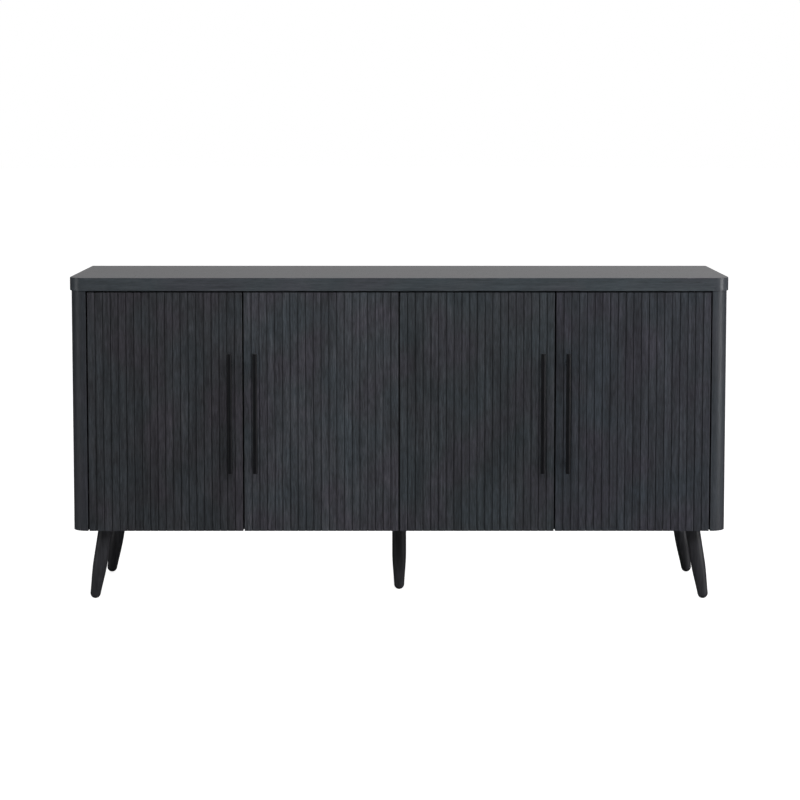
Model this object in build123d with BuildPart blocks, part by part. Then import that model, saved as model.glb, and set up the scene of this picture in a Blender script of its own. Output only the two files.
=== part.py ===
from build123d import *
import os
from collections import namedtuple
from math import acos, cos, degrees, radians, sin, sqrt

# A five-legged sideboard with four fluted doors, built as a knock-down cabinet.
# Millimetres. The floor is z = 0, +Z is up, the doors face -Y and +X is to the right of someone
# who faces them. The origin is on the floor under the middle of the outline, handles included.

os.makedirs("parts", exist_ok=True)

# ---------------------------------------------------------------- driving dimensions
WIDTH = 1500
TOP_DEPTH = 400
HEIGHT = 746
TOP_THICKNESS = 30
TOP_CORNER_RADIUS = 38
TOP_OVERHANG = 3.5
LEG_HEIGHT = 166

SIDE_THICKNESS = 36
SIDE_CORNER_RADIUS = 34
BOARD = 18
SHELF_THICKNESS = 15
SHELF_SETBACK = 20
BACK_THICKNESS = 3
BACK_LAP = 10
FIT_GAP = 0.5
ARRIS = 1
HOLE_SPARE = 1
CLEARANCE = 0.05

DOOR_GAP = 3
DOOR_TOP_GAP = 3.5
DOOR_THICKNESS = 16
DOOR_EDGE_RADIUS = 2
SLAT_COUNT = 20
GROOVE_WIDTH = 2.6
GROOVE_FLOOR = 1.2
GROOVE_DEPTH = 1.9
GROOVE_SHOULDER_RADIUS = 0.5

HANDLE_RADIUS = 5.5
HANDLE_LENGTH = 273
HANDLE_REACH = 33
HANDLE_EDGE_INSET = 27
POST_RADIUS = 4
POST_SPACING = 224
HANDLE_END_RADIUS = 1.2

LEG_RADIUS = 16.5
FOOT_RADIUS = 12
FOOT_FLAT_CUT = 0.4
FOOT_FLARE = 0.05
TAPER_TOP = 89
LEG_LEAN = 0.165
FOOT_X = 702
LEG_EDGE_INSET = 54
CENTRE_LEG_INSET = 150

# Hinges: a pin in a cup let into the door, and a curved arm on the carcass wall. Places in a
# door are given as u, in from its hinge edge, and v, back from its face.
HINGE_END_INSET = 80
PIN_U = 11
PIN_V = 6.5
PIN_RADIUS = 1.2
KNUCKLE_RADIUS = 2.1
CUP_U = 22.5
CUP_RADIUS = 17.4
CUP_WALL = 0.9
CUP_HOLE_FLOOR = 3.4
CUP_FLOOR = 0.6
CUP_HOLE_CLEARANCE = 0.1
CUP_FLANGE_RADIUS = 19
CUP_FLANGE_THICKNESS = 1
CUP_EAR_RADIUS = 5.5
CUP_SCREW_SETBACK = 9.5
CUP_SCREW_SPREAD = 22.5
CHEEK_INNER = 5.8
CHEEK_THICKNESS = 1.5
CHEEK_RADIUS = 3
CHEEK_FOOT_WIDTH = 7.4
ARM_WIDTH = 11
ARM_THICKNESS = 2.2
ARM_HEIGHT = 6
ARM_END_V = 70
HINGE_CLEARANCE = 0.8
PLATE_THICKNESS = 2
PLATE_SIZE = (40, 14)
PLATE_CORNER_RADIUS = 2
PLATE_MIDDLE_V = 48
WING_SIZE = (13, 46)
WING_CORNER_RADIUS = 6
WING_V = 50
WING_SCREW_SPREAD = 16

BUMPER_INSET = 22
BUMPER_RADIUS = 5
BUMPER_EDGE_RADIUS = 1.5
BUMPER_GAP = 0.2

CAM_RADIUS = 7.5
CAM_DEPTH = 12.5
CAM_REACH = 24
CAM_INSET = 85
CAM_WINDOW_RADIUS = 3.8
CAM_SLOT_LENGTH = 8
CAM_SLOT_WIDTH = 1.6
CAM_SLOT_DEPTH = 2
BOLT_BORE_RADIUS = 4
BOLT_THREAD_RADIUS = 2.5
BOLT_THREAD_LENGTH = 10.5
BOLT_SHANK_RADIUS = 2
BOLT_HEAD_RADIUS = 3.5
BOLT_HEAD_LENGTH = 3
BOLT_COLLAR_RADIUS = 3.6
BOLT_COLLAR_LENGTH = 1.2
DOWEL_RADIUS = 4
DOWEL_LENGTH = 30
DOWEL_SEAT = 10
DOWEL_INSET = 117
DOWEL_CHAMFER = 0.8

# ---------------------------------------------------------------- derived places
BODY_TOP = HEIGHT - TOP_THICKNESS
BODY_WIDTH = WIDTH - 2 * TOP_OVERHANG
SIDE_INNER_X = BODY_WIDTH / 2 - SIDE_THICKNESS
DEPTH = TOP_DEPTH + HANDLE_REACH - TOP_OVERHANG
TOP_FRONT = HANDLE_REACH - TOP_OVERHANG - DEPTH / 2
TOP_REAR = TOP_FRONT + TOP_DEPTH
BODY_FRONT = TOP_FRONT + TOP_OVERHANG
BODY_REAR = TOP_REAR - TOP_OVERHANG

# The door's rear hinge-side corner swings through this radius, and the carcass stays behind it.
TAIL_RADIUS = sqrt(PIN_U**2 + (DOOR_THICKNESS - PIN_V) ** 2)
INNER_FRONT = BODY_FRONT + PIN_V + TAIL_RADIUS + FIT_GAP
INNER_REAR = BODY_REAR - BACK_THICKNESS
FLOOR_TOP = LEG_HEIGHT + BOARD

DOOR_WIDTH = (2 * SIDE_INNER_X - 5 * DOOR_GAP) / 4
DOOR_HEIGHT = BODY_TOP - DOOR_TOP_GAP - LEG_HEIGHT
DOOR_MID_Z = LEG_HEIGHT + DOOR_HEIGHT / 2
HINGE_Z = (LEG_HEIGHT + HINGE_END_INSET, LEG_HEIGHT + DOOR_HEIGHT - HINGE_END_INSET)

SHELF_BASE = (FLOOR_TOP + BODY_TOP - SHELF_THICKNESS) / 2
BAY_WIDTH = SIDE_INNER_X - BOARD / 2
BAY_MID_X = (SIDE_INNER_X + BOARD / 2) / 2

# ---------------------------------------------------------------- fasteners
LEG_PLATE_SIZE = 54
LEG_PLATE_THICKNESS = 2.5
LEG_PLATE_CORNER_RADIUS = 6
LEG_PLATE_SCREW_PITCH = 40
LEG_BOLT_RADIUS = 4
LEG_BOLT_IN_LEG = 35
LEG_BOLT_IN_PANEL = 5
LEG_BOLT_HOLE_RADIUS = 6
SHELF_PIN_RADIUS = 2.5
SHELF_PIN_SEAT = 8
SHELF_PIN_REACH = 9
SHELF_PIN_INSET = 55
SHELF_PIN_FLANGE = 1.5
SHELF_PIN_FLANGE_HALF_WIDTH = 5
SHELF_PIN_FLANGE_DROP = 7
BACK_SCREW_LOWEST = 64
BACK_SCREW_PITCH = 150
BACK_SCREW_FLOOR_STEP = 180
SLOT_WIDTH = 0.9
SLOT_SPAN = 1.2

Screw = namedtuple("Screw", "radius length head_radius head_height")
PLATE_SCREW = Screw(1.75, 8, 3.5, 1.6)
LEG_SCREW = Screw(2, 12, 4, 2)
BACK_SCREW = Screw(1.5, 12, 3.2, 1.2)
CUP_SCREW = Screw(1.75, 10, 3.5, 1.4)
HANDLE_SCREW = Screw(2, DOOR_THICKNESS + 8, 4.2, 2.4)

FROM_START = (Align.CENTER, Align.CENTER, Align.MIN)
UP = (0, 0, 1)
DOWN = (0, 0, -1)
FORWARD = (0, -1, 0)
BACK = (0, 1, 0)

# A door's name, the x of its hinge edge, the way (+1 or -1) from there into the door, and the
# u of the carcass wall that carries its hinges.
Door = namedtuple("Door", "name hinge_x into wall_u")
OUTER_HINGE_X = SIDE_INNER_X - DOOR_GAP
INNER_HINGE_X = DOOR_GAP / 2
INNER_WALL_U = BOARD / 2 - INNER_HINGE_X
DOORS = [
    Door("left_outer_door", -OUTER_HINGE_X, 1, -DOOR_GAP),
    Door("left_inner_door", -INNER_HINGE_X, -1, INNER_WALL_U),
    Door("right_inner_door", INNER_HINGE_X, 1, INNER_WALL_U),
    Door("right_outer_door", OUTER_HINGE_X, -1, -DOOR_GAP),
]

# A leg's name, the x and y of its foot, and how far it leans outward per unit of height.
Leg = namedtuple("Leg", "name x y lean")
LEGS = [
    Leg("front_left_leg", -FOOT_X, TOP_FRONT + LEG_EDGE_INSET, -LEG_LEAN),
    Leg("front_right_leg", FOOT_X, TOP_FRONT + LEG_EDGE_INSET, LEG_LEAN),
    Leg("back_left_leg", -FOOT_X, TOP_REAR - LEG_EDGE_INSET, -LEG_LEAN),
    Leg("back_right_leg", FOOT_X, TOP_REAR - LEG_EDGE_INSET, LEG_LEAN),
    Leg("centre_leg", 0, TOP_FRONT + CENTRE_LEG_INSET, 0),
]

# Cam and dowel joints: x and z of the joint's face, the direction into the board that is bored
# in its edge, and the x-z offset and direction of the cam from the face of that board.
CAM_Y = (INNER_FRONT + CAM_INSET, INNER_REAR - CAM_INSET)
DOWEL_Y = (INNER_FRONT + DOWEL_INSET, INNER_REAR - DOWEL_INSET)
Joint = namedtuple("Joint", "x z into cam_x cam_z cam_into")
SIDE_BORE_X = SIDE_INNER_X + BOARD / 2
JOINTS = {
    "left_top": Joint(-SIDE_BORE_X, BODY_TOP, DOWN, -SIDE_INNER_X, BODY_TOP - CAM_REACH, (-1, 0, 0)),
    "right_top": Joint(SIDE_BORE_X, BODY_TOP, DOWN, SIDE_INNER_X, BODY_TOP - CAM_REACH, (1, 0, 0)),
    "left_floor": Joint(
        -SIDE_INNER_X, LEG_HEIGHT + BOARD / 2, (1, 0, 0), CAM_REACH - SIDE_INNER_X, LEG_HEIGHT, UP
    ),
    "right_floor": Joint(
        SIDE_INNER_X, LEG_HEIGHT + BOARD / 2, (-1, 0, 0), SIDE_INNER_X - CAM_REACH, LEG_HEIGHT, UP
    ),
    "partition_top": Joint(0, BODY_TOP, DOWN, BOARD / 2, BODY_TOP - CAM_REACH, (-1, 0, 0)),
    "partition_floor": Joint(0, FLOOR_TOP, UP, BOARD / 2, FLOOR_TOP + CAM_REACH, (-1, 0, 0)),
}


# ---------------------------------------------------------------- helpers
def save(part, name):
    part.label = name
    export_step(part, f"parts/{name}.step")


def rods(points, direction, radius, length, mode=Mode.ADD):
    """Round bars, or holes with Mode.SUBTRACT, that start at points and run along direction."""
    with Locations(*[Plane(origin=point, z_dir=direction).location for point in points]):
        Cylinder(radius, length, align=FROM_START, mode=mode)


def block(low, high, mode=Mode.ADD):
    """A box between two opposite corners."""
    size = [b - a for a, b in zip(low, high)]
    centre = [(a + b) / 2 for a, b in zip(low, high)]
    with Locations(tuple(centre)):
        Box(*size, mode=mode)


def screws(points, direction, screw):
    """Pan-head screws whose heads rest on the surface at points and point along direction."""
    opposite = tuple(-part for part in direction)
    rods(points, direction, screw.radius, screw.length)
    rods(points, opposite, screw.head_radius, screw.head_height)
    head_tops = edges().group_by(Axis((0, 0, 0), opposite))[-1]
    fillet(head_tops, screw.head_height / 2)
    slot_starts = [Vector(point) + Vector(opposite) * screw.head_height / 2 for point in points]
    slot_length = screw.head_radius * SLOT_SPAN
    with Locations(*[Plane(origin=start, z_dir=opposite).location for start in slot_starts]):
        Box(slot_length, SLOT_WIDTH, screw.head_height, align=FROM_START, mode=Mode.SUBTRACT)
        Box(SLOT_WIDTH, slot_length, screw.head_height, align=FROM_START, mode=Mode.SUBTRACT)


def joint_points(joint, row):
    return [(joint.x, y, joint.z) for y in row]


def cam_points(joint):
    return [(joint.cam_x, y, joint.cam_z) for y in CAM_Y]


def bore_joint_face(joint):
    """The shallow holes in the face of the board that holds the cam bolts and dowels."""
    outward = tuple(-part for part in joint.into)
    bolt_depth = BOLT_THREAD_LENGTH + HOLE_SPARE / 2
    dowel_depth = DOWEL_SEAT + HOLE_SPARE
    rods(joint_points(joint, CAM_Y), outward, BOLT_THREAD_RADIUS, bolt_depth, Mode.SUBTRACT)
    rods(joint_points(joint, DOWEL_Y), outward, DOWEL_RADIUS + CLEARANCE, dowel_depth, Mode.SUBTRACT)


def bore_joint_edge(joint):
    """The long holes in the edge of the other board, and the cams' round pockets."""
    dowel_depth = DOWEL_LENGTH - DOWEL_SEAT + HOLE_SPARE
    pocket_depth = CAM_DEPTH + HOLE_SPARE / 2
    rods(joint_points(joint, CAM_Y), joint.into, BOLT_BORE_RADIUS, CAM_REACH, Mode.SUBTRACT)
    rods(joint_points(joint, DOWEL_Y), joint.into, DOWEL_RADIUS + CLEARANCE, dowel_depth, Mode.SUBTRACT)
    rods(cam_points(joint), joint.cam_into, CAM_RADIUS + CLEARANCE, pocket_depth, Mode.SUBTRACT)


def door_point(door, u, v, z):
    return (door.hinge_x + door.into * u, BODY_FRONT + v, z)


def door_plane(door, z):
    """A level plane whose x is the door's u and whose y is its v."""
    return Plane(origin=door_point(door, 0, 0, z), x_dir=(door.into, 0, 0), z_dir=(0, 0, door.into))


def around_pin(radius, angle):
    """The u and v of a point at a radius and angle in degrees about a hinge pin."""
    return (PIN_U + radius * cos(radians(angle)), PIN_V + radius * sin(radians(angle)))


def hinge_points(door, u, v, side=0):
    """A point at both hinges of a door, side above or below each hinge's middle."""
    return [door_point(door, u, v, z + side) for z in HINGE_Z]


def cup_screw_points(door):
    u = CUP_U + CUP_SCREW_SETBACK
    v = DOOR_THICKNESS + CUP_FLANGE_THICKNESS
    return hinge_points(door, u, v, CUP_SCREW_SPREAD) + hinge_points(door, u, v, -CUP_SCREW_SPREAD)


def plate_screw_points(door):
    u = door.wall_u + PLATE_THICKNESS
    upper = hinge_points(door, u, WING_V, WING_SCREW_SPREAD)
    lower = hinge_points(door, u, WING_V, -WING_SCREW_SPREAD)
    return upper + lower


def wall_direction(door):
    """From a hinge into the carcass wall that carries it."""
    return (-door.into, 0, 0)


def handle_post_points(door, v):
    u = DOOR_WIDTH - HANDLE_EDGE_INSET
    half = POST_SPACING / 2
    return [door_point(door, u, v, DOOR_MID_Z - half), door_point(door, u, v, DOOR_MID_Z + half)]


def shelf_pin_points(wall_x):
    row = (INNER_FRONT + SHELF_SETBACK + SHELF_PIN_INSET, INNER_REAR - SHELF_PIN_INSET)
    return [(wall_x, y, SHELF_BASE - SHELF_PIN_RADIUS) for y in row]


def leg_axis(leg):
    """The direction up a leg, from its foot."""
    return Vector(-leg.lean, 0, 1).normalized()


def leg_foot(leg):
    """The centre of the round end of a leg."""
    return Vector(leg.x, leg.y, FOOT_RADIUS - FOOT_FLAT_CUT)


def on_leg_axis(leg, z):
    foot = leg_foot(leg)
    return Vector(foot.X - leg.lean * (z - foot.Z), foot.Y, z)


def leg_screw_points(leg):
    middle = on_leg_axis(leg, LEG_HEIGHT)
    half = LEG_PLATE_SCREW_PITCH / 2
    low_z = LEG_HEIGHT - LEG_PLATE_THICKNESS
    return [(middle.X + a * half, middle.Y + b * half, low_z) for a in (-1, 1) for b in (-1, 1)]


def back_screw_points():
    heights = [LEG_HEIGHT + BACK_SCREW_LOWEST + BACK_SCREW_PITCH * row for row in range(4)]
    steps = (-BACK_SCREW_FLOOR_STEP, 0, BACK_SCREW_FLOOR_STEP)
    floor_z = LEG_HEIGHT + BOARD / 2
    columns = (SIDE_INNER_X + BACK_LAP / 2, BOARD / 4)
    upright = [(side * x, BODY_REAR, z) for side in (-1, 1) for x in columns for z in heights]
    along_floor = [(side * BAY_MID_X + s, BODY_REAR, floor_z) for side in (-1, 1) for s in steps]
    return upright + along_floor


# ---------------------------------------------------------------- carcass panels
with BuildPart() as top_panel:
    with BuildSketch(Plane.XY.offset(BODY_TOP)):
        with Locations((0, (TOP_FRONT + TOP_REAR) / 2)):
            Rectangle(WIDTH, TOP_DEPTH)
        fillet(vertices().group_by(Axis.Y)[0], TOP_CORNER_RADIUS)
    extrude(amount=TOP_THICKNESS)
    fillet(edges().group_by(Axis.Z)[-1] + edges().group_by(Axis.Z)[0], ARRIS)
    for joint_name in ("left_top", "right_top", "partition_top"):
        bore_joint_face(JOINTS[joint_name])
save(top_panel.part, "top_panel")

for side, side_name in ((-1, "left"), (1, "right")):
    with BuildPart() as side_panel:
        with BuildSketch(Plane.XY.offset(LEG_HEIGHT)):
            with Locations((side * (SIDE_INNER_X + SIDE_THICKNESS / 2), (BODY_FRONT + BODY_REAR) / 2)):
                Rectangle(SIDE_THICKNESS, BODY_REAR - BODY_FRONT)
            front = vertices().group_by(Axis.Y)[0]
            fillet(front.sort_by(Axis.X)[0 if side < 0 else -1], SIDE_CORNER_RADIUS)
        extrude(amount=BODY_TOP - LEG_HEIGHT)
        rebate_x = sorted((side * SIDE_INNER_X, side * (SIDE_INNER_X + BACK_LAP + FIT_GAP)))
        rebate_low = (rebate_x[0], INNER_REAR, LEG_HEIGHT)
        rebate_high = (rebate_x[1], BODY_REAR, BODY_TOP)
        block(rebate_low, rebate_high, Mode.SUBTRACT)
        bore_joint_edge(JOINTS[f"{side_name}_top"])
        bore_joint_face(JOINTS[f"{side_name}_floor"])
        rods(shelf_pin_points(side * SIDE_INNER_X), (side, 0, 0), SHELF_PIN_RADIUS, SHELF_PIN_SEAT,
             Mode.SUBTRACT)
        outer_door = DOORS[0] if side < 0 else DOORS[-1]
        wall_points = [(side * SIDE_INNER_X, y, z) for _, y, z in plate_screw_points(outer_door)]
        rods(wall_points, (side, 0, 0), PLATE_SCREW.radius, PLATE_SCREW.length, Mode.SUBTRACT)
        lap_x = side * (SIDE_INNER_X + BACK_LAP / 2)
        back_holes = [(x, INNER_REAR, z) for x, _, z in back_screw_points() if abs(x - lap_x) < 1]
        rods(back_holes, FORWARD, BACK_SCREW.radius, BACK_SCREW.length, Mode.SUBTRACT)
    save(side_panel.part, f"{side_name}_side_panel")

with BuildPart() as bottom_panel:
    block((-SIDE_INNER_X, INNER_FRONT, LEG_HEIGHT), (SIDE_INNER_X, INNER_REAR, FLOOR_TOP))
    bore_joint_edge(JOINTS["left_floor"])
    bore_joint_edge(JOINTS["right_floor"])
    bore_joint_face(JOINTS["partition_floor"])
    for leg in LEGS:
        bolt_hole_start = on_leg_axis(leg, LEG_HEIGHT - LEG_PLATE_THICKNESS)
        bolt_hole_length = LEG_PLATE_THICKNESS + LEG_BOLT_IN_PANEL + 2 * HOLE_SPARE
        rods([bolt_hole_start], leg_axis(leg), LEG_BOLT_HOLE_RADIUS, bolt_hole_length, Mode.SUBTRACT)
        rods(leg_screw_points(leg), UP, LEG_SCREW.radius, LEG_SCREW.length, Mode.SUBTRACT)
    floor_holes = [(x, INNER_REAR, z) for x, _, z in back_screw_points() if z < FLOOR_TOP]
    rods(floor_holes, FORWARD, BACK_SCREW.radius, BACK_SCREW.length, Mode.SUBTRACT)
save(bottom_panel.part, "bottom_panel")

with BuildPart() as centre_partition:
    block((-BOARD / 2, INNER_FRONT, FLOOR_TOP), (BOARD / 2, INNER_REAR, BODY_TOP))
    bore_joint_edge(JOINTS["partition_top"])
    bore_joint_edge(JOINTS["partition_floor"])
    for door in DOORS[1:3]:
        rods(shelf_pin_points(door.into * BOARD / 2), wall_direction(door), SHELF_PIN_RADIUS,
             SHELF_PIN_SEAT, Mode.SUBTRACT)
        face_points = [(door.into * BOARD / 2, y, z) for _, y, z in plate_screw_points(door)]
        rods(face_points, wall_direction(door), PLATE_SCREW.radius, PLATE_SCREW.length, Mode.SUBTRACT)
    partition_holes = [(x, INNER_REAR, z) for x, _, z in back_screw_points() if abs(x) < BOARD / 2]
    rods(partition_holes, FORWARD, BACK_SCREW.radius, BACK_SCREW.length, Mode.SUBTRACT)
save(centre_partition.part, "centre_partition")

for side, side_name in ((-1, "left"), (1, "right")):
    with BuildPart() as back_panel:
        panel_width = SIDE_INNER_X + BACK_LAP - FIT_GAP / 2
        panel_height = BODY_TOP - LEG_HEIGHT - FIT_GAP
        panel_middle = (side * (FIT_GAP / 2 + panel_width / 2), BODY_REAR - BACK_THICKNESS / 2)
        with Locations((*panel_middle, LEG_HEIGHT + panel_height / 2)):
            Box(panel_width, BACK_THICKNESS, panel_height)
        own_screws = [point for point in back_screw_points() if point[0] * side > 0]
        rods(own_screws, FORWARD, BACK_SCREW.radius, BACK_THICKNESS, Mode.SUBTRACT)
    save(back_panel.part, f"{side_name}_back_panel")

    with BuildPart() as shelf:
        shelf_front = INNER_FRONT + SHELF_SETBACK
        shelf_depth = INNER_REAR - FIT_GAP - shelf_front
        with Locations((side * BAY_MID_X, shelf_front + shelf_depth / 2, SHELF_BASE + SHELF_THICKNESS / 2)):
            Box(BAY_WIDTH - 2 * FIT_GAP, shelf_depth, SHELF_THICKNESS)
        chamfer(edges().group_by(Axis.Y)[0].filter_by(Axis.X), ARRIS / 2)
    save(shelf.part, f"{side_name}_shelf")

# ---------------------------------------------------------------- joinery
with BuildPart() as cam_locks:
    for joint in JOINTS.values():
        rods(cam_points(joint), joint.cam_into, CAM_RADIUS, CAM_DEPTH)
    for joint in JOINTS.values():
        window_reach = CAM_REACH + BOLT_HEAD_LENGTH
        rods(joint_points(joint, CAM_Y), joint.into, CAM_WINDOW_RADIUS, window_reach, Mode.SUBTRACT)
        with Locations(*[Plane(origin=p, z_dir=joint.cam_into).location for p in cam_points(joint)]):
            Box(CAM_SLOT_LENGTH, CAM_SLOT_WIDTH, CAM_SLOT_DEPTH, align=FROM_START, mode=Mode.SUBTRACT)
            Box(CAM_SLOT_WIDTH, CAM_SLOT_LENGTH, CAM_SLOT_DEPTH, align=FROM_START, mode=Mode.SUBTRACT)
save(cam_locks.part, "cam_locks")

with BuildPart() as cam_bolts:
    for joint in JOINTS.values():
        outward = tuple(-part for part in joint.into)
        seats = joint_points(joint, CAM_Y)
        heads = [Vector(seat) + Vector(joint.into) * (CAM_REACH - 1) for seat in seats]
        rods(seats, outward, BOLT_THREAD_RADIUS, BOLT_THREAD_LENGTH)
        rods(seats, joint.into, BOLT_SHANK_RADIUS, CAM_REACH)
        rods(seats, joint.into, BOLT_COLLAR_RADIUS, BOLT_COLLAR_LENGTH)
        rods(heads, joint.into, BOLT_HEAD_RADIUS, BOLT_HEAD_LENGTH)
save(cam_bolts.part, "cam_bolts")

with BuildPart() as dowels:
    for joint in JOINTS.values():
        starts = [Vector(p) - Vector(joint.into) * DOWEL_SEAT for p in joint_points(joint, DOWEL_Y)]
        rods(starts, joint.into, DOWEL_RADIUS, DOWEL_LENGTH)
    chamfer(edges().filter_by(GeomType.CIRCLE), DOWEL_CHAMFER)
save(dowels.part, "dowels")

with BuildPart() as shelf_pins:
    for wall_x, into in ((-SIDE_INNER_X, 1), (-BOARD / 2, -1), (BOARD / 2, 1), (SIDE_INNER_X, -1)):
        pin_row = shelf_pin_points(wall_x)
        rods(pin_row, (-into, 0, 0), SHELF_PIN_RADIUS, SHELF_PIN_SEAT)
        rods(pin_row, (into, 0, 0), SHELF_PIN_RADIUS, SHELF_PIN_REACH)
        for _, y, z in pin_row:
            low_x, high_x = sorted((wall_x, wall_x + into * SHELF_PIN_FLANGE))
            low = (low_x, y - SHELF_PIN_FLANGE_HALF_WIDTH, z - SHELF_PIN_FLANGE_DROP)
            high = (high_x, y + SHELF_PIN_FLANGE_HALF_WIDTH, z + SHELF_PIN_RADIUS)
            block(low, high)
save(shelf_pins.part, "shelf_pins")

with BuildPart() as back_panel_screws:
    screws(back_screw_points(), FORWARD, BACK_SCREW)
save(back_panel_screws.part, "back_panel_screws")

# ---------------------------------------------------------------- legs
for leg in LEGS:
    axis = leg_axis(leg)
    foot = leg_foot(leg)
    length = LEG_HEIGHT / axis.Z + LEG_RADIUS
    taper_at = (TAPER_TOP - foot.Z) / axis.Z
    with BuildPart() as turned_leg:
        with BuildSketch(Plane(origin=foot, x_dir=BACK, z_dir=Vector(BACK).cross(axis))):
            with BuildLine():
                CenterArc((0, 0), FOOT_RADIUS, -90, 90)
                Spline(
                    (FOOT_RADIUS, 0),
                    (LEG_RADIUS, taper_at),
                    tangents=[(FOOT_FLARE, 1), (0, 1)],
                )
                Polyline((LEG_RADIUS, taper_at), (LEG_RADIUS, length), (0, length), (0, -FOOT_RADIUS))
            make_face()
        revolve(axis=Axis(foot, axis))
        split(bisect_by=Plane.XY.offset(LEG_HEIGHT - LEG_PLATE_THICKNESS), keep=Keep.BOTTOM)
        split(bisect_by=Plane.XY, keep=Keep.TOP)
        bolt_end = on_leg_axis(leg, LEG_HEIGHT - LEG_PLATE_THICKNESS - LEG_BOLT_IN_LEG - HOLE_SPARE)
        rods([bolt_end], axis, LEG_BOLT_RADIUS + CLEARANCE, LEG_BOLT_IN_LEG + LEG_RADIUS, Mode.SUBTRACT)
    save(turned_leg.part, leg.name)

with BuildPart() as leg_plates:
    for leg in LEGS:
        middle = on_leg_axis(leg, LEG_HEIGHT)
        with BuildSketch(Plane.XY.offset(LEG_HEIGHT - LEG_PLATE_THICKNESS)):
            with Locations((middle.X, middle.Y)):
                RectangleRounded(LEG_PLATE_SIZE, LEG_PLATE_SIZE, LEG_PLATE_CORNER_RADIUS)
        extrude(amount=LEG_PLATE_THICKNESS)
    for leg in LEGS:
        below_plate = on_leg_axis(leg, LEG_HEIGHT - 4 * LEG_PLATE_THICKNESS)
        rods([below_plate], leg_axis(leg), LEG_BOLT_RADIUS + CLEARANCE, 8 * LEG_PLATE_THICKNESS,
             Mode.SUBTRACT)
        rods(leg_screw_points(leg), UP, LEG_SCREW.radius, LEG_PLATE_THICKNESS, Mode.SUBTRACT)
save(leg_plates.part, "leg_plates")

with BuildPart() as leg_plate_screws:
    screws([point for leg in LEGS for point in leg_screw_points(leg)], UP, LEG_SCREW)
save(leg_plate_screws.part, "leg_plate_screws")

with BuildPart() as leg_bolts:
    for leg in LEGS:
        start = on_leg_axis(leg, LEG_HEIGHT - LEG_PLATE_THICKNESS - LEG_BOLT_IN_LEG)
        rise = LEG_BOLT_IN_LEG + LEG_PLATE_THICKNESS + LEG_BOLT_IN_PANEL
        rods([start], leg_axis(leg), LEG_BOLT_RADIUS, rise / leg_axis(leg).Z)
save(leg_bolts.part, "leg_bolts")

# ---------------------------------------------------------------- doors
for door in DOORS:
    with BuildPart() as door_panel:
        with BuildSketch(door_plane(door, DOOR_MID_Z)):
            with Locations((DOOR_WIDTH / 2, DOOR_THICKNESS / 2)):
                Rectangle(DOOR_WIDTH, DOOR_THICKNESS)
            fillet(vertices().group_by(Axis.Y)[0], DOOR_EDGE_RADIUS)
            pitch = DOOR_WIDTH / SLAT_COUNT
            for groove in range(1, SLAT_COUNT):
                with BuildLine():
                    Polyline(
                        (groove * pitch - GROOVE_WIDTH / 2, 0),
                        (groove * pitch + GROOVE_WIDTH / 2, 0),
                        (groove * pitch + GROOVE_FLOOR / 2, GROOVE_DEPTH),
                        (groove * pitch - GROOVE_FLOOR / 2, GROOVE_DEPTH),
                        close=True,
                    )
                make_face(mode=Mode.SUBTRACT)
            shoulders = vertices().group_by(Axis.Y)[0].sort_by(Axis.X)[1:-1]
            fillet(shoulders, GROOVE_SHOULDER_RADIUS)
        extrude(amount=DOOR_HEIGHT / 2, both=True)
        cup_depth = DOOR_THICKNESS - CUP_HOLE_FLOOR
        cup_hole_radius = CUP_RADIUS + CUP_HOLE_CLEARANCE
        rods(hinge_points(door, CUP_U, DOOR_THICKNESS), FORWARD, cup_hole_radius, cup_depth, Mode.SUBTRACT)
        cup_screw_holes = [(x, BODY_FRONT + DOOR_THICKNESS, z) for x, _, z in cup_screw_points(door)]
        rods(cup_screw_holes, FORWARD, CUP_SCREW.radius, CUP_SCREW.length, Mode.SUBTRACT)
        rods(handle_post_points(door, DOOR_THICKNESS), FORWARD, HANDLE_SCREW.radius + 4 * CLEARANCE,
             DOOR_THICKNESS, Mode.SUBTRACT)
    save(door_panel.part, f"{door.name}_panel")

    bar_v = HANDLE_RADIUS - HANDLE_REACH
    bar_foot = door_point(door, DOOR_WIDTH - HANDLE_EDGE_INSET, bar_v, DOOR_MID_Z - HANDLE_LENGTH / 2)
    with BuildPart() as handle_bar:
        rods([bar_foot], UP, HANDLE_RADIUS, HANDLE_LENGTH)
        fillet(edges().filter_by(GeomType.CIRCLE), HANDLE_END_RADIUS)
    save(handle_bar.part, f"{door.name}_handle_bar")

    with BuildPart() as handle_posts:
        rods(handle_post_points(door, 0), FORWARD, POST_RADIUS, -bar_v)
        socket_depth = HANDLE_SCREW.length - DOOR_THICKNESS + HOLE_SPARE
        rods(handle_post_points(door, 0), FORWARD, HANDLE_SCREW.radius + CLEARANCE, socket_depth,
             Mode.SUBTRACT)
        rods([bar_foot], UP, HANDLE_RADIUS, HANDLE_LENGTH, Mode.SUBTRACT)
    save(handle_posts.part, f"{door.name}_handle_posts")

    with BuildPart() as handle_screws:
        screws(handle_post_points(door, DOOR_THICKNESS), FORWARD, HANDLE_SCREW)
    save(handle_screws.part, f"{door.name}_handle_screws")

    with BuildPart() as bumper:
        bumper_z = LEG_HEIGHT + BOARD / 2
        bumper_start = door_point(door, DOOR_WIDTH - BUMPER_INSET, DOOR_THICKNESS, bumper_z)
        bumper_length = INNER_FRONT - BODY_FRONT - DOOR_THICKNESS - BUMPER_GAP
        rods([bumper_start], BACK, BUMPER_RADIUS, bumper_length)
        fillet(edges().filter_by(GeomType.CIRCLE).group_by(Axis.Y)[-1], BUMPER_EDGE_RADIUS)
    save(bumper.part, f"{door.name}_bumper")

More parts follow.
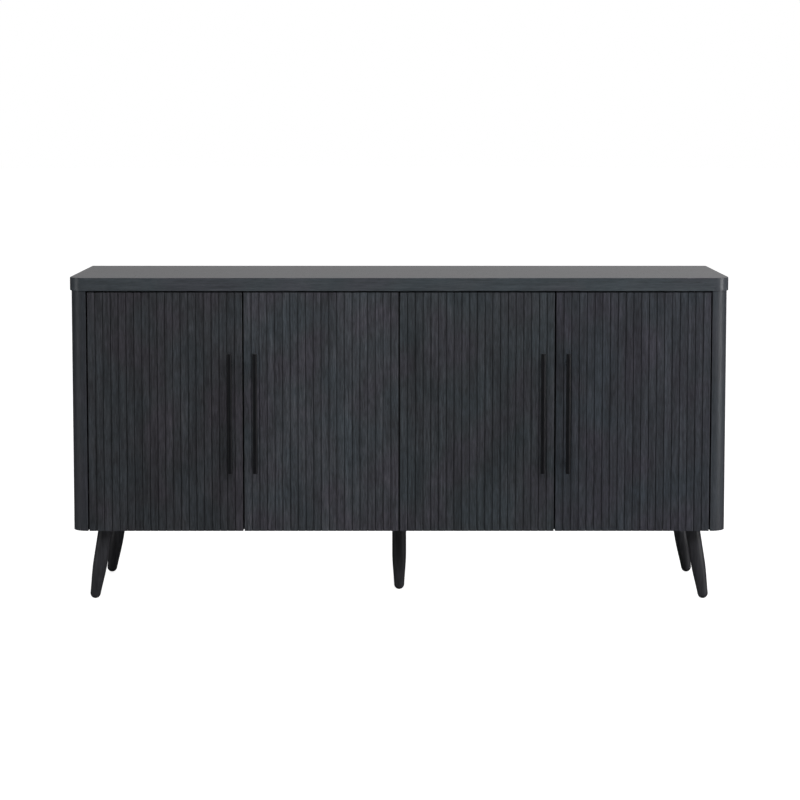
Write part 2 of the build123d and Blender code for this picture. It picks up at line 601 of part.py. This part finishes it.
# ---------------------------------------------------------------- hinges
for door in DOORS:
    with BuildPart() as hinge_cups:
        cup_middles = hinge_points(door, CUP_U, CUP_HOLE_FLOOR + CLEARANCE)
        rods(cup_middles, BACK, CUP_RADIUS, DOOR_THICKNESS - CUP_HOLE_FLOOR - CLEARANCE)
        for z in HINGE_Z:
            rear = door_point(door, 0, DOOR_THICKNESS, z)
            with BuildSketch(Plane(origin=rear, x_dir=(door.into, 0, 0), z_dir=FORWARD)):
                with Locations((CUP_U, 0)):
                    Circle(CUP_FLANGE_RADIUS)
                ear_u = CUP_U + CUP_SCREW_SETBACK
                with Locations((ear_u, CUP_SCREW_SPREAD), (ear_u, -CUP_SCREW_SPREAD)):
                    Circle(CUP_EAR_RADIUS)
                make_hull()
            extrude(amount=-CUP_FLANGE_THICKNESS)
        inner_floor = hinge_points(door, CUP_U, CUP_HOLE_FLOOR + CUP_FLOOR)
        rods(inner_floor, BACK, CUP_RADIUS - CUP_WALL, DOOR_THICKNESS, Mode.SUBTRACT)
        for z in HINGE_Z:
            for cheek_z in (z - CHEEK_INNER - CHEEK_THICKNESS, z + CHEEK_INNER):
                with BuildSketch(door_plane(door, cheek_z)):
                    with Locations((PIN_U, CUP_HOLE_FLOOR + CUP_FLOOR / 2)):
                        Rectangle(CHEEK_FOOT_WIDTH, PIN_V - CUP_HOLE_FLOOR, align=(Align.CENTER, Align.MIN))
                    with Locations((PIN_U, PIN_V)):
                        Circle(CHEEK_RADIUS)
                extrude(amount=CHEEK_THICKNESS * door.into)
        pin_half = CHEEK_INNER + CHEEK_THICKNESS + HOLE_SPARE
        pin_holes = [door_point(door, PIN_U, PIN_V, z - pin_half) for z in HINGE_Z]
        rods(pin_holes, UP, PIN_RADIUS + CLEARANCE, 2 * pin_half, Mode.SUBTRACT)
        rods(cup_screw_points(door), FORWARD, CUP_SCREW.radius, CUP_FLANGE_THICKNESS, Mode.SUBTRACT)
    save(hinge_cups.part, f"{door.name}_hinge_cups")

    with BuildPart() as cup_screws:
        screws(cup_screw_points(door), FORWARD, CUP_SCREW)
    save(cup_screws.part, f"{door.name}_hinge_cup_screws")

    arc_inner = TAIL_RADIUS + HINGE_CLEARANCE
    arc_outer = arc_inner + ARM_THICKNESS
    arm_low_u = door.wall_u + PLATE_THICKNESS
    arm_high_u = arm_low_u + ARM_HEIGHT
    arc_sweep = degrees(acos((arm_low_u + ARM_HEIGHT / 2 - PIN_U) / ((arc_inner + arc_outer) / 2)))
    nearest_u = min(max(PIN_U, arm_low_u), arm_high_u)
    arm_front_v = PIN_V + sqrt(arc_inner**2 - (nearest_u - PIN_U) ** 2)
    with BuildPart() as hinge_arms:
        for z in HINGE_Z:
            with BuildSketch(door_plane(door, z)):
                with Locations((PIN_U, PIN_V)):
                    Circle(KNUCKLE_RADIUS)
                    Rectangle(arc_inner + ARM_THICKNESS / 2, ARM_THICKNESS, align=(Align.MIN, Align.CENTER))
                with BuildLine():
                    CenterArc((PIN_U, PIN_V), arc_inner, 0, arc_sweep)
                    CenterArc((PIN_U, PIN_V), arc_outer, 0, arc_sweep)
                    Line(around_pin(arc_inner, 0), around_pin(arc_outer, 0))
                    Line(around_pin(arc_inner, arc_sweep), around_pin(arc_outer, arc_sweep))
                make_face()
                with Locations((arm_low_u, arm_front_v)):
                    Rectangle(ARM_HEIGHT, ARM_END_V - arm_front_v, align=(Align.MIN, Align.MIN))
                with Locations((PIN_U, PIN_V)):
                    Circle(PIN_RADIUS, mode=Mode.SUBTRACT)
            extrude(amount=ARM_WIDTH / 2, both=True)
    save(hinge_arms.part, f"{door.name}_hinge_arms")

with BuildPart() as hinge_pins:
    pin_half = CHEEK_INNER + CHEEK_THICKNESS
    pin_starts = [door_point(door, PIN_U, PIN_V, z - pin_half) for door in DOORS for z in HINGE_Z]
    rods(pin_starts, UP, PIN_RADIUS, 2 * pin_half)
save(hinge_pins.part, "hinge_pins")

with BuildPart() as hinge_plates:
    for door in DOORS:
        for z in HINGE_Z:
            wall = door_point(door, door.wall_u, 0, z)
            with BuildSketch(Plane(origin=wall, x_dir=BACK, z_dir=(door.into, 0, 0))):
                with Locations((PLATE_MIDDLE_V, 0)):
                    RectangleRounded(*PLATE_SIZE, PLATE_CORNER_RADIUS)
                with Locations((WING_V, 0)):
                    RectangleRounded(*WING_SIZE, WING_CORNER_RADIUS)
            extrude(amount=PLATE_THICKNESS)
        rods(plate_screw_points(door), wall_direction(door), PLATE_SCREW.radius, PLATE_THICKNESS,
             Mode.SUBTRACT)
save(hinge_plates.part, "hinge_plates")

with BuildPart() as hinge_plate_screws:
    for door in DOORS:
        with BuildPart(mode=Mode.PRIVATE) as one_door_screws:
            screws(plate_screw_points(door), wall_direction(door), PLATE_SCREW)
        add(one_door_screws.part)
save(hinge_plate_screws.part, "hinge_plate_screws")
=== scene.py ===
import math

import bpy
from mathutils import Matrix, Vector


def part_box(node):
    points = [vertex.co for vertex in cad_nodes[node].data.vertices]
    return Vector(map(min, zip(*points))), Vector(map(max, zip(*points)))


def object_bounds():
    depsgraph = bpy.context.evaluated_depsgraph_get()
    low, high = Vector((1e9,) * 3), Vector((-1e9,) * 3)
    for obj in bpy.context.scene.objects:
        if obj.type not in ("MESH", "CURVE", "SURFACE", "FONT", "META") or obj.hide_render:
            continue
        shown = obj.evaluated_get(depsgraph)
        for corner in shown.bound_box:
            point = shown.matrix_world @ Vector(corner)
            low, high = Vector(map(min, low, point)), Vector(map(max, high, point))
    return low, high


# The looks of a charcoal sideboard with fluted doors. Metres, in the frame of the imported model:
# the floor is z = 0, the doors face -Y and +X is to the right.

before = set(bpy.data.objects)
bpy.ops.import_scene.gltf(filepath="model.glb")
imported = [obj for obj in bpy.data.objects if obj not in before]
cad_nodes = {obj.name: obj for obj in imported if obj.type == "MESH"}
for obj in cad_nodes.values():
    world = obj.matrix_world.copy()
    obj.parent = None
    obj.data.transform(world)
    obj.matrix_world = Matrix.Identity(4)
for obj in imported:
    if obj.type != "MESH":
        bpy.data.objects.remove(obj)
cad_low, cad_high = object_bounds()

MM = 0.001
ALONG_X, ALONG_Y, ALONG_Z = 0, 1, 2

DOORS = ("left_outer_door", "left_inner_door", "right_inner_door", "right_outer_door")
LEGS = ("front_left_leg", "front_right_leg", "back_left_leg", "back_right_leg", "centre_leg")
STEEL_NODES = ("cam_locks", "cam_bolts", "shelf_pins", "back_panel_screws", "leg_plate_screws",
               "leg_bolts", "hinge_pins", "hinge_plates", "hinge_plate_screws")
STEEL_DOOR_PARTS = ("handle_screws", "hinge_cups", "hinge_cup_screws", "hinge_arms")
SLATS = 20
GROOVE_WIDTH = 2.6 * MM
GROOVE_SHADE = 0.62

# The foil: its three colours, and the tints that drift over it in wide faint patches.
CHARCOAL_DARK = (0.0180, 0.0200, 0.0236)
CHARCOAL_MID = (0.0375, 0.0412, 0.0486)
CHARCOAL_LIGHT = (0.0640, 0.0695, 0.0800)
WARM_TINT = (1.08, 0.96, 1.02)
COOL_TINT = (0.93, 1.02, 1.03)
NEUTRAL = (1.0, 1.0, 1.0)

# Tones and tints of single boards, as factors of the foil's colours; the right side's higher tone and
# the top's up-facing tint are painted light. The top and the sides are smoother than the doors, and
# their figure is fainter.
DOOR_TONES = (1.16, 1.60, 1.26, 1.24)
DOOR_TINTS = ((1.02, 0.99, 0.98), NEUTRAL, (0.98, 1.01, 1.0), (0.98, 0.99, 1.04))
# Painted light: the right side is given a lighter tone than the left, for the stronger lamp on that
# side.
SIDE_TONES_WITH_PAINTED_LIGHT = {"left": 1.26, "right": 1.42}
SIDE_ROUGHNESS = 0.42
TOP_TONE = 1.95
TOP_ROUGHNESS = 0.30
TOP_EDGE_TINT = (0.97, 1.02, 0.98)
# Painted reflection: a warm tint on the top's up-facing faces, standing in for the sheen they reflect.
TOP_FACE_PAINTED_REFLECTION = (1.12, 0.94, 0.975)
FAINT_FIGURE = 0.5
LOOKS_UP = 0.7  # the least height of a face's normal, for the top's painted reflection tint

# Marks of the grain: how many there are per metre across it, and how many times longer they are
# along it.
BROAD_BANDS = (34, 7)
STREAKS = (430, 11)
LONG_STREAKS = (210, 40)
PORES = (1050, 20)
PATCHES = (10, 1.2)

# How the marks act. Noise lies around 0.5, and the darkest and lightest colours are CONTRAST_REACH
# away from that, or more where the figure is faint.
CONTRAST_REACH = 0.17
STREAK_SHARE = 0.6
LONG_STREAK_SHARE = 0.4
BAND_CONTRAST = 0.20
PORE_DARKNESS = 0.42
PORE_STRENGTH = 0.8
SLAT_TONES = (0.95, 1.06)
STREAK_GLOSS = 0.16
STREAK_RELIEF_SHARE = 0.4
PORE_RELIEF_SHARE = 0.6
GRAIN_RELIEF = 0.35
GRAIN_DEPTH = 0.25 * MM

# Shifts of the grain in metres: one seed's, and the most that a slat adds. The steps keep the
# random numbers of one door's slats apart from those of the next door's.
SEED_SHIFT = (1.7, 0.9, 2.3)
SLAT_SHIFT = (0.0, 1.0, 2.0)
SLAT_SHIFT_STEP = 31.0
SLAT_TONE_STEP = 57.0
SLAT_TONE_START = 9.0

# The studio. The side lamps mirror each other at the cabinet's middle, and only differ in power.
# The world's light goes from its front value to its back value while a direction's Y goes from 0
# to WORLD_BACK_FULL_AT, and from its horizon share to all of it while Z goes through WORLD_RISE.
FLOOR_RADIUS = 40.0
FLOOR_SIDES = 96
FLOOR_GLOW = 0.88
FLOOR_IN_GLOSS = (0.04, 0.04, 0.04)
FLOOR_DARKER = 0.84
FLOOR_PALER = 0.87
KEY_PLACE = (0.8, -4.4, 4.0)
KEY_SIZE = (5.0, 2.5)
KEY_WATTS = 130
SIDE_DISTANCE = 3.51
SIDE_FORWARD = -1.27
SIDE_HEIGHT = 0.9
SIDE_SIZE = (1.1, 2.2)
LEFT_WATTS = 12
RIGHT_WATTS = 38
WORLD_FRONT = 0.06
WORLD_BACK = 0.69
WORLD_BACK_FULL_AT = 0.75
WORLD_LEAN_TO_RIGHT = 0.7
WORLD_HORIZON_SHARE = 0.04
WORLD_RISE = (-0.1, 0.35)

# The camera: a long view from slightly above the top, tilted down a little.
SENSOR_MM = 36
LENS_MM = 97.7
LENS_SHIFT = -0.14
EYE = (0.002, -5.0812, 1.1154)
TILT_DOWN_DEG = 4.58


# ---------------------------------------------------------------- node helpers
# A Mix node has sockets for each kind of data, so the ones in use are chosen by their places.
MIX_NUMBERS = (2, 3)
MIX_NUMBER_RESULT = 0
MIX_COLOURS = (6, 7)
MIX_COLOUR_RESULT = 2


class Nodes:
    """A node tree, built by small calls that return output sockets."""

    def __init__(self, tree):
        self.tree = tree

    def node(self, kind, **settings):
        node = self.tree.nodes.new(kind)
        for key, value in settings.items():
            setattr(node, key, value)
        return node

    def wire(self, target, value):
        """Link a socket, or set a plain value."""
        if isinstance(value, bpy.types.NodeSocket):
            self.tree.links.new(value, target)
        else:
            target.default_value = value

    def ray_is(self, kind):
        """1 on rays of one kind, such as Camera or Glossy, and 0 on the rest."""
        return self.node("ShaderNodeLightPath").outputs[f"Is {kind} Ray"]

    def math(self, operation, a, b=0.0, c=0.0):
        node = self.node("ShaderNodeMath", operation=operation)
        for socket, value in zip(node.inputs, (a, b, c)):
            self.wire(socket, value)
        return node.outputs[0]

    def scaled(self, value, amount, base):
        """base plus amount times value."""
        return self.math("MULTIPLY_ADD", value, amount, base)

    def add_vectors(self, a, b):
        node = self.node("ShaderNodeVectorMath", operation="ADD")
        self.wire(node.inputs[0], a)
        self.wire(node.inputs[1], b)
        return node.outputs[0]

    def scaled_vector(self, vector, factor):
        node = self.node("ShaderNodeVectorMath", operation="SCALE")
        self.wire(node.inputs[0], vector)
        self.wire(node.inputs["Scale"], factor)
        return node.outputs[0]

    def axis(self, vector, index):
        node = self.node("ShaderNodeSeparateXYZ")
        self.wire(node.inputs[0], vector)
        return node.outputs[index]

    def blend_numbers(self, factor, a, b):
        node = self.node("ShaderNodeMix")
        self.wire(node.inputs["Factor"], factor)
        for place, number in zip(MIX_NUMBERS, (a, b)):
            self.wire(node.inputs[place], number)
        return node.outputs[MIX_NUMBER_RESULT]

    def smooth_range(self, value, source, result):
        """Carry value from the range source to the range result, easing in and out."""
        node = self.node("ShaderNodeMapRange", interpolation_type="SMOOTHSTEP")
        self.wire(node.inputs["Value"], value)
        for name, limit in zip(("From Min", "From Max", "To Min", "To Max"), source + result):
            self.wire(node.inputs[name], limit)
        return node.outputs[0]


class Shader(Nodes):
    """A material with a Principled shader."""

    def __init__(self, name):
        self.material = bpy.data.materials.new(name)
        self.material.use_nodes = True
        super().__init__(self.material.node_tree)
        self.principled = self.tree.nodes["Principled BSDF"]

    def coordinates(self):
        return self.node("ShaderNodeTexCoord").outputs["Object"]

    def stretched(self, vector, scale, offset=(0, 0, 0)):
        node = self.node("ShaderNodeMapping")
        self.wire(node.inputs["Vector"], vector)
        self.wire(node.inputs["Scale"], scale)
        self.wire(node.inputs["Location"], offset)
        return node.outputs["Vector"]

    def noise(self, vector, scale, detail=4.0, roughness=0.55, distortion=0.0):
        node = self.node("ShaderNodeTexNoise")
        self.wire(node.inputs["Vector"], vector)
        self.wire(node.inputs["Scale"], scale)
        self.wire(node.inputs["Detail"], detail)
        self.wire(node.inputs["Roughness"], roughness)
        self.wire(node.inputs["Distortion"], distortion)
        return node.outputs["Fac"]

    def random(self, value):
        """A number from 0 to 1 that differs for each whole number."""
        node = self.node("ShaderNodeTexWhiteNoise", noise_dimensions="1D")
        self.wire(node.inputs["W"], value)
        return node.outputs["Value"]

    def ramp(self, value, stops):
        """A colour ramp through (place, colour) stops; a plain number is a grey."""
        node = self.node("ShaderNodeValToRGB")
        self.wire(node.inputs["Fac"], value)
        elements = node.color_ramp.elements
        while len(elements) < len(stops):
            elements.new(0.5)
        for element, (place, colour) in zip(elements, stops):
            grey = isinstance(colour, (int, float))
            element.position = place
            element.color = (colour, colour, colour, 1) if grey else (*colour, 1)
        return node.outputs["Color"]

    def blend(self, factor, a, b, mode="MIX"):
        node = self.node("ShaderNodeMix", data_type="RGBA", blend_type=mode)
        self.wire(node.inputs["Factor"], factor)
        for place, colour in zip(MIX_COLOURS, (a, b)):
            self.wire(node.inputs[place], (*colour, 1) if isinstance(colour, tuple) else colour)
        return node.outputs[MIX_COLOUR_RESULT]

    def times(self, a, b, factor=1.0):
        """Colour a multiplied by colour b, as strongly as factor says."""
        return self.blend(factor, a, b, mode="MULTIPLY")

    def bump(self, height, strength, distance):
        node = self.node("ShaderNodeBump")
        self.wire(node.inputs["Height"], height)
        self.wire(node.inputs["Strength"], strength)
        self.wire(node.inputs["Distance"], distance)
        return node.outputs["Normal"]

    def finish(self, **sockets):
        for name, value in sockets.items():
            socket = self.principled.inputs[name.replace("_", " ")]
            self.wire(socket, (*value, 1) if isinstance(value, tuple) and len(value) == 3 else value)
        return self.material


# ---------------------------------------------------------------- materials
def grain_foil(name, along, seed, tone=1.0, slats=None, rough=0.5, figure=1.0, tint=NEUTRAL,
               painted_reflection_tint=None):
    """Charcoal wood-grain foil whose grain runs along axis 0, 1 or 2.

    slats is (x of the left edge, pitch): each slat then has its own shift of grain and its own tone,
    and painted shade in its grooves.
    figure is the strength of the grain and tint colours the foil. upper is a painted warm reflection,
    multiplied into a face that looks up.
    """
    shader = Shader(name)
    offset = tuple(seed * shift for shift in SEED_SHIFT)
    sheet = shader.stretched(shader.coordinates(), (1, 1, 1), offset)
    place = sheet
    slat_tone = 0.5
    if slats:
        edge_x, pitch = slats
        across = shader.axis(shader.coordinates(), ALONG_X)
        slat_place = shader.math("DIVIDE", shader.math("SUBTRACT", across, edge_x), pitch)
        index = shader.math("FLOOR", slat_place)
        number = shader.random(shader.math("ADD", index, seed * SLAT_SHIFT_STEP))
        place = shader.add_vectors(place, shader.scaled_vector(SLAT_SHIFT, number))
        tone_number = shader.math("ADD", index, seed * SLAT_TONE_STEP + SLAT_TONE_START)
        slat_tone = shader.random(tone_number)

    def marks(kind, detail, roughness, distortion=0.0, origin=place):
        """Noise drawn out along the grain."""
        across_scale, stretch = kind
        scale = [across_scale] * 3
        scale[along] = across_scale / stretch
        return shader.noise(shader.stretched(origin, tuple(scale)), 1.0, detail, roughness, distortion)

    broad = marks(BROAD_BANDS, detail=3.0, roughness=0.5, distortion=0.5)
    streaks = marks(STREAKS, detail=3.0, roughness=0.6)
    long_streaks = marks(LONG_STREAKS, detail=3.0, roughness=0.5)
    pores = marks(PORES, detail=2.0, roughness=0.5)
    patches = marks(PATCHES, detail=1.5, roughness=0.5, origin=sheet)

    short_part = shader.math("MULTIPLY", streaks, STREAK_SHARE)
    mixed = shader.scaled(long_streaks, LONG_STREAK_SHARE, short_part)
    reach = CONTRAST_REACH / figure
    coloured = shader.ramp(
        mixed,
        [(0.5 - reach, CHARCOAL_DARK), (0.5, CHARCOAL_MID), (min(0.5 + reach, 1.0), CHARCOAL_LIGHT)],
    )
    band_contrast = BAND_CONTRAST * figure
    bands = shader.ramp(broad, [(0.32, 1 - band_contrast), (0.70, 1 + band_contrast)])
    coloured = shader.times(coloured, bands)
    tints = shader.ramp(patches, [(0.36, WARM_TINT), (0.50, NEUTRAL), (0.64, COOL_TINT)])
    coloured = shader.times(coloured, tints, factor=figure)
    pore_tone = shader.ramp(pores, [(0.34, PORE_DARKNESS), (0.46, 1.0)])
    coloured = shader.times(coloured, pore_tone, factor=PORE_STRENGTH * figure)
    dark_slat, light_slat = (tuple(slat * tone * part for part in tint) for slat in SLAT_TONES)
    coloured = shader.times(coloured, shader.ramp(slat_tone, [(0.0, dark_slat), (1.0, light_slat)]))

    # Painted reflection: faces that look up get a warm tint for the sheen they reflect.
    if painted_reflection_tint:
        normal_z = shader.axis(shader.node("ShaderNodeNewGeometry").outputs["Normal"], ALONG_Z)
        looks_up = shader.math("GREATER_THAN", normal_z, LOOKS_UP)
        coloured = shader.blend(looks_up, coloured, shader.times(coloured, painted_reflection_tint))

    if slats:
        within_slat = shader.math("FRACT", slat_place)
        from_middle = shader.math("ABSOLUTE", shader.math("SUBTRACT", within_slat, 0.5))
        groove_half = GROOVE_WIDTH / 2 / pitch
        # Painted shade: the colour is darkened in the grooves between the slats, where shade falls.
        groove_painted_shade = shader.ramp(
            from_middle, [(0.5 - groove_half, 1.0), (0.5 - groove_half / 2, GROOVE_SHADE)]
        )
        coloured = shader.times(coloured, groove_painted_shade)

    roughness = shader.scaled(streaks, -STREAK_GLOSS, rough + STREAK_GLOSS / 2)
    streak_relief = shader.math("MULTIPLY", streaks, STREAK_RELIEF_SHARE)
    height = shader.scaled(pores, PORE_RELIEF_SHARE, streak_relief)
    normal = shader.bump(height, GRAIN_RELIEF * figure, GRAIN_DEPTH)
    return shader.finish(
        Base_Color=coloured, Roughness=roughness, Normal=normal, Specular_IOR_Level=0.42
    )


def stained_leg(name, seed):
    """Black-stained turned wood under satin lacquer, its grain up the leg."""
    shader = Shader(name)
    place = shader.stretched(shader.coordinates(), (1, 1, 0.035), (seed, seed * 2.0, seed))
    streaks = shader.noise(place, scale=420.0, detail=4.0, roughness=0.6)
    broad = shader.noise(place, scale=70.0, detail=2.0)
    base = shader.ramp(
        streaks, [(0.30, (0.0250, 0.0252, 0.0290)), (0.62, (0.0480, 0.0484, 0.0555))]
    )
    colour = shader.times(base, shader.ramp(broad, [(0.35, 0.8), (0.65, 1.2)]))
    roughness = shader.scaled(broad, 0.12, 0.36)
    normal = shader.bump(streaks, strength=0.2, distance=0.12 * MM)
    return shader.finish(Base_Color=colour, Roughness=roughness, Normal=normal, Specular_IOR_Level=0.45)


def powder_coat(name):
    """Fine satin black powder coat."""
    shader = Shader(name)
    fine = shader.noise(shader.coordinates(), scale=2600.0, detail=2.0)
    cloud = shader.noise(shader.coordinates(), scale=60.0, detail=2.0)
    colour = shader.ramp(cloud, [(0.3, (0.0062, 0.0066, 0.0088)), (0.7, (0.0092, 0.0099, 0.0126))])
    roughness = shader.scaled(cloud, 0.1, 0.32)
    normal = shader.bump(fine, strength=0.15, distance=0.05 * MM)
    return shader.finish(Base_Color=colour, Roughness=roughness, Normal=normal, Specular_IOR_Level=0.35)


def plated_steel(name):
    """Bright zinc plate with faint rolling marks."""
    shader = Shader(name)
    drawn = shader.stretched(shader.coordinates(), (900, 90, 900))
    marks = shader.noise(drawn, scale=1.0, detail=3.0)
    cloud = shader.noise(shader.coordinates(), scale=90.0, detail=2.0)
    colour = shader.ramp(cloud, [(0.3, (0.50, 0.50, 0.51)), (0.7, (0.64, 0.64, 0.63))])
    roughness = shader.scaled(marks, 0.2, 0.2)
    normal = shader.bump(marks, strength=0.12, distance=0.03 * MM)
    return shader.finish(Base_Color=colour, Roughness=roughness, Normal=normal, Metallic=1.0)


def hardboard(name, seed):
    """The painted face of thin hardboard, faintly mottled."""
    shader = Shader(name)
    place = shader.stretched(shader.coordinates(), (1, 1, 1), (seed, seed, seed))
    speckle = shader.noise(place, scale=900.0, detail=4.0, roughness=0.7)
    cloud = shader.noise(place, scale=12.0, detail=3.0)
    base = shader.ramp(speckle, [(0.3, (0.030, 0.030, 0.032)), (0.7, (0.055, 0.055, 0.058))])
    colour = shader.times(base, shader.ramp(cloud, [(0.35, 0.88), (0.65, 1.1)]))
    roughness = shader.scaled(speckle, 0.15, 0.6)
    normal = shader.bump(speckle, strength=0.3, distance=0.1 * MM)
    return shader.finish(Base_Color=colour, Roughness=roughness, Normal=normal)


def beech(name):
    """Plain beech, for the dowels."""
    shader = Shader(name)
    drawn = shader.stretched(shader.coordinates(), (800, 800, 60))
    streaks = shader.noise(drawn, scale=1.0, detail=3.0)
    colour = shader.ramp(streaks, [(0.35, (0.42, 0.27, 0.15)), (0.65, (0.60, 0.42, 0.26))])
    roughness = shader.scaled(streaks, 0.1, 0.55)
    normal = shader.bump(streaks, strength=0.2, distance=0.05 * MM)
    return shader.finish(Base_Color=colour, Roughness=roughness, Normal=normal)


def soft_rubber(name):
    """Grey, slightly cloudy rubber."""
    shader = Shader(name)
    cloud = shader.noise(shader.coordinates(), scale=700.0, detail=3.0)
    colour = shader.ramp(cloud, [(0.3, (0.20, 0.20, 0.21)), (0.7, (0.28, 0.28, 0.29))])
    roughness = shader.scaled(cloud, 0.15, 0.55)
    normal = shader.bump(cloud, strength=0.1, distance=0.05 * MM)
    return shader.finish(Base_Color=colour, Roughness=roughness, Normal=normal)


# ---------------------------------------------------------------- which node wears what
def coat(node, material):
    mesh = cad_nodes[node].data
    mesh.materials.clear()
    mesh.materials.append(material)


def coat_boards():
    """Each board has its own foil, so that no two boards repeat the same grain."""
    coat("top_panel", grain_foil("top_foil", ALONG_X, seed=1.3, tone=TOP_TONE, rough=TOP_ROUGHNESS,
                                 figure=FAINT_FIGURE, tint=TOP_EDGE_TINT, painted_reflection_tint=TOP_FACE_PAINTED_REFLECTION))
    coat("bottom_panel", grain_foil("bottom_foil", ALONG_X, seed=4.1))
    coat("left_shelf", grain_foil("left_shelf_foil", ALONG_X, seed=5.7))
    coat("right_shelf", grain_foil("right_shelf_foil", ALONG_X, seed=6.9))
    coat("centre_partition", grain_foil("partition_foil", ALONG_Z, seed=7.4))
    for side, seed in (("left", 8.8), ("right", 9.6)):
        # The right side's higher tone is painted light, for the stronger lamp on the right.
        foil = grain_foil(f"{side}_side_foil", ALONG_Z, seed, tone=SIDE_TONES_WITH_PAINTED_LIGHT[side],
                          rough=SIDE_ROUGHNESS, figure=FAINT_FIGURE)
        coat(f"{side}_side_panel", foil)
    coat("left_back_panel", hardboard("left_back_face", seed=0.3))
    coat("right_back_panel", hardboard("right_back_face", seed=1.9))


def coat_doors():
    """Slatted doors, with a grain and tone of their own on each slat."""
    for number, door in enumerate(DOORS):
        low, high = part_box(f"{door}_panel")
        slats = (low.x, (high.x - low.x) / SLATS)
        foil = grain_foil(f"{door}_foil", ALONG_Z, seed=11.0 + 3.1 * number,
                          tone=DOOR_TONES[number], slats=slats, tint=DOOR_TINTS[number])
        coat(f"{door}_panel", foil)


def coat_fittings():
    """Legs, handles, hinges and everything that joins the boards."""
    for number, leg in enumerate(LEGS):
        coat(leg, stained_leg(f"{leg}_wood", seed=0.37 * number))
    coat("dowels", beech("dowel_beech"))

    black = powder_coat("black_powder_coat")
    steel = plated_steel("zinc_plate")
    rubber = soft_rubber("bumper_rubber")
    coat("leg_plates", black)
    for node in STEEL_NODES:
        coat(node, steel)
    for door in DOORS:
        coat(f"{door}_handle_bar", black)
        coat(f"{door}_handle_posts", black)
        coat(f"{door}_bumper", rubber)
        for part in STEEL_DOOR_PARTS:
            coat(f"{door}_{part}", steel)


# ---------------------------------------------------------------- studio
def pale_floor():
    """A wide disc that the camera sees as white, and that stays dark in glossy reflections."""
    turn = 2 * math.pi / FLOOR_SIDES
    ring = [(FLOOR_RADIUS * math.cos(turn * k), FLOOR_RADIUS * math.sin(turn * k), 0)
            for k in range(FLOOR_SIDES)]
    mesh = bpy.data.meshes.new("floor")
    mesh.from_pydata(ring, [], [range(FLOOR_SIDES)])
    floor = bpy.data.objects.new("floor", mesh)
    bpy.context.scene.collection.objects.link(floor)
    shader = Shader("pale_floor")
    cloud = shader.noise(shader.coordinates(), scale=3.0, detail=2.0)
    colour = shader.ramp(cloud, [(0.0, FLOOR_DARKER), (1.0, FLOOR_PALER)])
    colour = shader.blend(shader.ray_is("Glossy"), colour, FLOOR_IN_GLOSS)
    glow = shader.math("MULTIPLY", shader.ray_is("Camera"), FLOOR_GLOW)
    shader.finish(Base_Color=colour, Roughness=0.7, Specular_IOR_Level=0.2,
                  Emission_Color=(1, 1, 1), Emission_Strength=glow)
    mesh.materials.append(shader.material)


def soft_light(name, place, aim, size, watts):
    light = bpy.data.lights.new(name, "AREA")
    light.shape = "RECTANGLE"
    light.size, light.size_y = size
    light.energy = watts
    lamp = bpy.data.objects.new(name, light)
    lamp.location = place
    lamp.rotation_euler = (Vector(aim) - Vector(place)).to_track_quat("-Z", "Y").to_euler()
    bpy.context.scene.collection.objects.link(lamp)


def white_world():
    """Plain white to the eye; as a light, dim on the side of the doors and bright behind."""
    world = bpy.data.worlds.new("studio")
    bpy.context.scene.world = world
    world.use_nodes = True
    sky = Nodes(world.node_tree)
    background = sky.tree.nodes["Background"]
    background.inputs["Color"].default_value = (1, 1, 1, 1)
    direction = sky.node("ShaderNodeTexCoord").outputs["Generated"]
    behind = sky.smooth_range(
        sky.axis(direction, ALONG_Y), (0.0, WORLD_BACK_FULL_AT), (WORLD_FRONT, WORLD_BACK)
    )
    lean = sky.scaled(sky.axis(direction, ALONG_X), WORLD_LEAN_TO_RIGHT, 1.0)
    rise = sky.smooth_range(sky.axis(direction, ALONG_Z), WORLD_RISE, (WORLD_HORIZON_SHARE, 1.0))
    light = sky.math("MULTIPLY", sky.math("MULTIPLY", behind, lean), rise)
    strength = sky.blend_numbers(sky.ray_is("Camera"), light, 1.0)
    sky.wire(background.inputs["Strength"], strength)


def studio():
    pale_floor()
    white_world()
    middle = (cad_low + cad_high) / 2
    soft_light("key", KEY_PLACE, middle, KEY_SIZE, KEY_WATTS)
    soft_light("right_side", (SIDE_DISTANCE, SIDE_FORWARD, SIDE_HEIGHT), middle, SIDE_SIZE, RIGHT_WATTS)
    soft_light("left_side", (-SIDE_DISTANCE, SIDE_FORWARD, SIDE_HEIGHT), middle, SIDE_SIZE, LEFT_WATTS)
    bpy.context.scene.view_settings.view_transform = "Standard"


def camera():
    data = bpy.data.cameras.new("camera")
    data.sensor_width = SENSOR_MM
    data.lens = LENS_MM
    data.shift_y = LENS_SHIFT
    eye = bpy.data.objects.new("camera", data)
    eye.location = EYE
    eye.rotation_euler = (math.radians(90 - TILT_DOWN_DEG), 0, 0)
    bpy.context.scene.collection.objects.link(eye)
    bpy.context.scene.camera = eye


camera()
coat_boards()
coat_doors()
coat_fittings()
studio()
